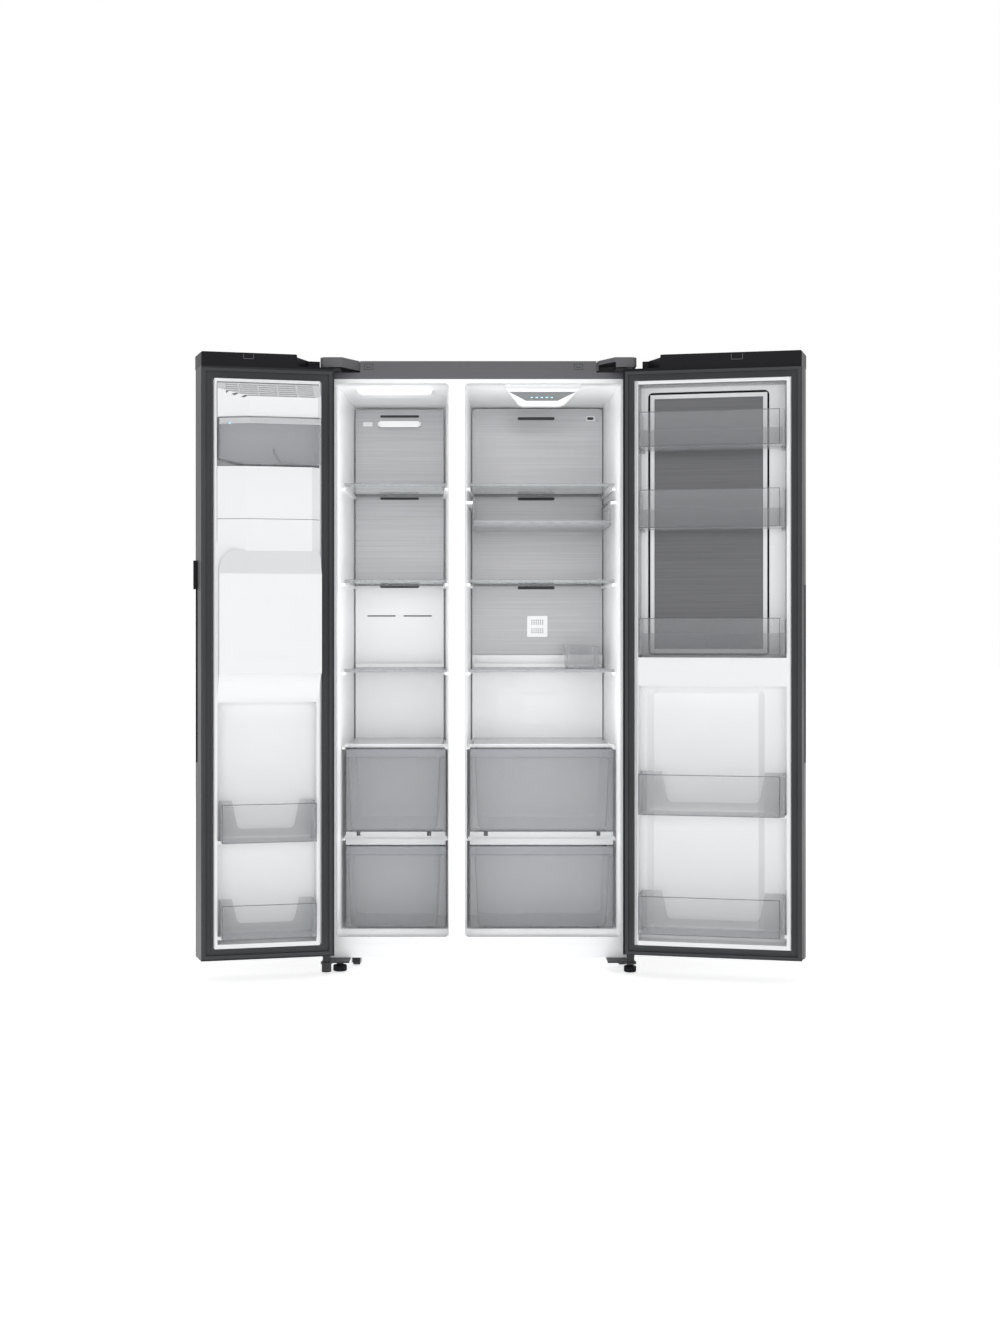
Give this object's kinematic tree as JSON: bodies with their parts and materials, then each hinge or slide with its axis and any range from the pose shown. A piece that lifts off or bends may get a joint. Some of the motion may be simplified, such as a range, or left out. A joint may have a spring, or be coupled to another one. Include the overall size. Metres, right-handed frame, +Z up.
{
  "type": "side by side refrigerator",
  "caption": "Side by side refrigerator with both doors open: freezer with ice maker and dispenser on the left, fridge with a door-in-door showcase on the right.",
  "frame": {"origin": "on the floor, midway across the cabinet, in the plane of the cabinet's front face", "axes": "+X to the right for someone facing the cabinet, +Y into the cabinet, +Z up"},
  "size_m": [1.7526, 0.9129, 1.78],
  "materials": {
    "case_steel": "satin",
    "galvanised_sheet": "satin",
    "galvanised_pan": "satin",
    "white_frame": "satin",
    "freezer_lining": "satin",
    "fridge_lining": "satin",
    "foam": "matte",
    "grey_trim": "satin",
    "grey_hinge_cover": "satin",
    "hinge_steel": "satin",
    "brushed_freezer_panel": "brushed",
    "brushed_fridge_panel": "brushed",
    "white_duct": "satin",
    "white_fridge_duct": "satin",
    "filter_plastic": "satin",
    "freezer_lamp": "gloss",
    "fridge_lamp": "gloss",
    "freezer_glass": "clear",
    "fridge_glass": "clear",
    "shelf_trim": "satin",
    "cover_trim": "satin",
    "rack_plastic": "gloss",
    "clear_box": "clear",
    "compressor_paint": "gloss",
    "condenser_metal": "matte",
    "evaporator_metal": "satin",
    "drain_plastic": "matte",
    "fan_plastic": "matte",
    "motor_metal": "satin",
    "machine_cover_plastic": "matte",
    "front_roller_plastic": "matte",
    "rear_roller_plastic": "matte",
    "left_foot_plastic": "matte",
    "right_foot_plastic": "matte",
    "drawer_freezer_upper": "clear",
    "drawer_freezer_lower": "clear",
    "drawer_fridge_upper": "clear",
    "drawer_fridge_lower": "clear",
    "freezer_door_steel": "satin",
    "freezer_door_lining": "satin",
    "freezer_door_foam": "matte",
    "freezer_cap_plastic": "satin",
    "freezer_gasket": "matte",
    "grip_plastic": "satin",
    "ice_maker_plastic": "satin",
    "ice_bucket_plastic": "clear",
    "chute_plastic": "satin",
    "dispenser_plastic": "gloss",
    "paddle_plastic": "satin",
    "freezer_bin_plastic": "clear",
    "fridge_door_lining": "satin",
    "fridge_cap_plastic": "satin",
    "fridge_gasket": "matte",
    "fridge_bin_plastic": "clear",
    "bin_frame_plastic": "clear",
    "showcase_steel": "satin",
    "showcase_panel": "brushed",
    "showcase_foam": "matte",
    "showcase_cap_plastic": "satin",
    "showcase_seal": "matte"
  },
  "bodies": {
    "cabinet": {"cabinet_shell": "case_steel", "back_panel": "galvanised_sheet", "front_frame": "white_frame", "freezer_liner": "freezer_lining", "fridge_liner": "fridge_lining", "insulation_foam": "foam", "base_pan": "galvanised_pan", "top_cover": "grey_trim", "hinge_covers": "grey_hinge_cover", "door_hinges": "hinge_steel", "freezer_metal_panel": "brushed_freezer_panel", "freezer_duct_panel": "white_duct", "fridge_metal_panel": "brushed_fridge_panel", "fridge_duct_panel": "white_fridge_duct", "air_filter": "filter_plastic", "freezer_lamp": "freezer_lamp", "fridge_lamp": "fridge_lamp", "freezer_shelves": "freezer_glass", "fridge_shelves": "fridge_glass", "shelf_trims": "shelf_trim", "drawer_covers": "cover_trim", "compressor": "compressor_paint", "condenser_coil": "condenser_metal", "evaporators": "evaporator_metal", "drain_pan": "drain_plastic", "fan_motor": "motor_metal", "machine_cover": "machine_cover_plastic"},
    "freezer_door": {"freezer_door_skin": "freezer_door_steel", "freezer_door_liner": "freezer_door_lining", "freezer_door_foam": "freezer_door_foam", "freezer_door_caps": "freezer_cap_plastic", "freezer_door_gasket": "freezer_gasket", "freezer_door_handle": "grip_plastic", "ice_maker": "ice_maker_plastic", "ice_chute_cover": "chute_plastic", "dispenser": "dispenser_plastic", "freezer_door_bins": "freezer_bin_plastic"},
    "fridge_door": {"fridge_door_frame": "fridge_door_lining", "fridge_door_caps": "fridge_cap_plastic", "fridge_door_gasket": "fridge_gasket", "fridge_door_bins": "fridge_bin_plastic", "bin_side_frames": "bin_frame_plastic"},
    "showcase_door": {"showcase_door_skin": "showcase_steel", "showcase_inner_panel": "showcase_panel", "showcase_foam": "showcase_foam", "showcase_caps": "showcase_cap_plastic", "showcase_gasket": "showcase_seal"},
    "ice_bucket": {"ice_bucket": "ice_bucket_plastic"},
    "dispenser_paddle": {"dispenser_paddle": "paddle_plastic"},
    "bottle_rack": {"bottle_rack": "rack_plastic"},
    "utility_box": {"utility_box": "clear_box"},
    "condenser_fan": {"condenser_fan": "fan_plastic"},
    "front_rollers": {"front_rollers": "front_roller_plastic"},
    "rear_rollers": {"rear_rollers": "rear_roller_plastic"},
    "levelling_foot_left": {"levelling_foot_left": "left_foot_plastic"},
    "levelling_foot_right": {"levelling_foot_right": "right_foot_plastic"},
    "freezer_upper_drawer": {"freezer_upper_drawer": "drawer_freezer_upper"},
    "freezer_lower_drawer": {"freezer_lower_drawer": "drawer_freezer_lower"},
    "fridge_upper_drawer": {"fridge_upper_drawer": "drawer_fridge_upper"},
    "fridge_lower_drawer": {"fridge_lower_drawer": "drawer_fridge_lower"}
  },
  "joints": [
    {"name": "freezer_door_hinge", "type": "hinge", "parent": "cabinet", "child": "freezer_door", "pos_m": [-0.4387, -0.058, 0.9], "axis": [0, 0, 1], "range_deg": [0, 167.3]},
    {"name": "fridge_door_hinge", "type": "hinge", "parent": "cabinet", "child": "fridge_door", "pos_m": [0.4387, -0.058, 0.9], "axis": [0, 0, -1], "range_deg": [0, 168.5]},
    {"name": "showcase_door_hinge", "type": "hinge", "parent": "fridge_door", "child": "showcase_door", "pos_m": [0.4387, -0.058, 0.9], "axis": [0, 0, 1], "range_deg": [0, 25]},
    {"name": "ice_bucket_slide", "type": "slide", "parent": "freezer_door", "child": "ice_bucket", "axis": [-0.2198, 0.9755, 0], "range_m": [-0.16, 0]},
    {"name": "dispenser_paddle_hinge", "type": "hinge", "parent": "freezer_door", "child": "dispenser_paddle", "pos_m": [-0.60488, -0.1016, 1.092], "axis": [-0.9755, -0.2198, 0], "range_deg": [0, 10], "stiffness_Nm_per_rad": 0.6, "springref_deg": -5.73},
    {"name": "freezer_upper_drawer_slide", "type": "slide", "parent": "cabinet", "child": "freezer_upper_drawer", "axis": [0, 1, 0], "range_m": [-0.3, 0]},
    {"name": "freezer_lower_drawer_slide", "type": "slide", "parent": "cabinet", "child": "freezer_lower_drawer", "axis": [0, 1, 0], "range_m": [-0.19, 0]},
    {"name": "fridge_upper_drawer_slide", "type": "slide", "parent": "cabinet", "child": "fridge_upper_drawer", "axis": [0, 1, 0], "range_m": [-0.3, 0]},
    {"name": "fridge_lower_drawer_slide", "type": "slide", "parent": "cabinet", "child": "fridge_lower_drawer", "axis": [0, 1, 0], "range_m": [-0.19, 0]},
    {"name": "bottle_rack_slide", "type": "slide", "parent": "cabinet", "child": "bottle_rack", "axis": [0, 1, 0], "range_m": [-0.22, 0]},
    {"name": "utility_box_slide", "type": "slide", "parent": "cabinet", "child": "utility_box", "axis": [0, 1, 0], "range_m": [-0.13, 0]},
    {"name": "condenser_fan_spin", "type": "hinge", "parent": "cabinet", "child": "condenser_fan", "pos_m": [-0.02, 0.508, 0.128], "axis": [1, 0, 0], "continuous": true},
    {"name": "front_rollers_spin", "type": "hinge", "parent": "cabinet", "child": "front_rollers", "pos_m": [0, 0.074, 0.0185], "axis": [1, 0, 0], "continuous": true},
    {"name": "rear_rollers_spin", "type": "hinge", "parent": "cabinet", "child": "rear_rollers", "pos_m": [0, 0.56, 0.0165], "axis": [1, 0, 0], "continuous": true},
    {"name": "levelling_foot_left_turn", "type": "hinge", "parent": "cabinet", "child": "levelling_foot_left", "pos_m": [-0.404, -0.004, 0.02], "axis": [0, 0, 1], "continuous": true},
    {"name": "levelling_foot_right_turn", "type": "hinge", "parent": "cabinet", "child": "levelling_foot_right", "pos_m": [0.441, -0.019, 0.02], "axis": [0, 0, 1], "continuous": true}
  ]
}
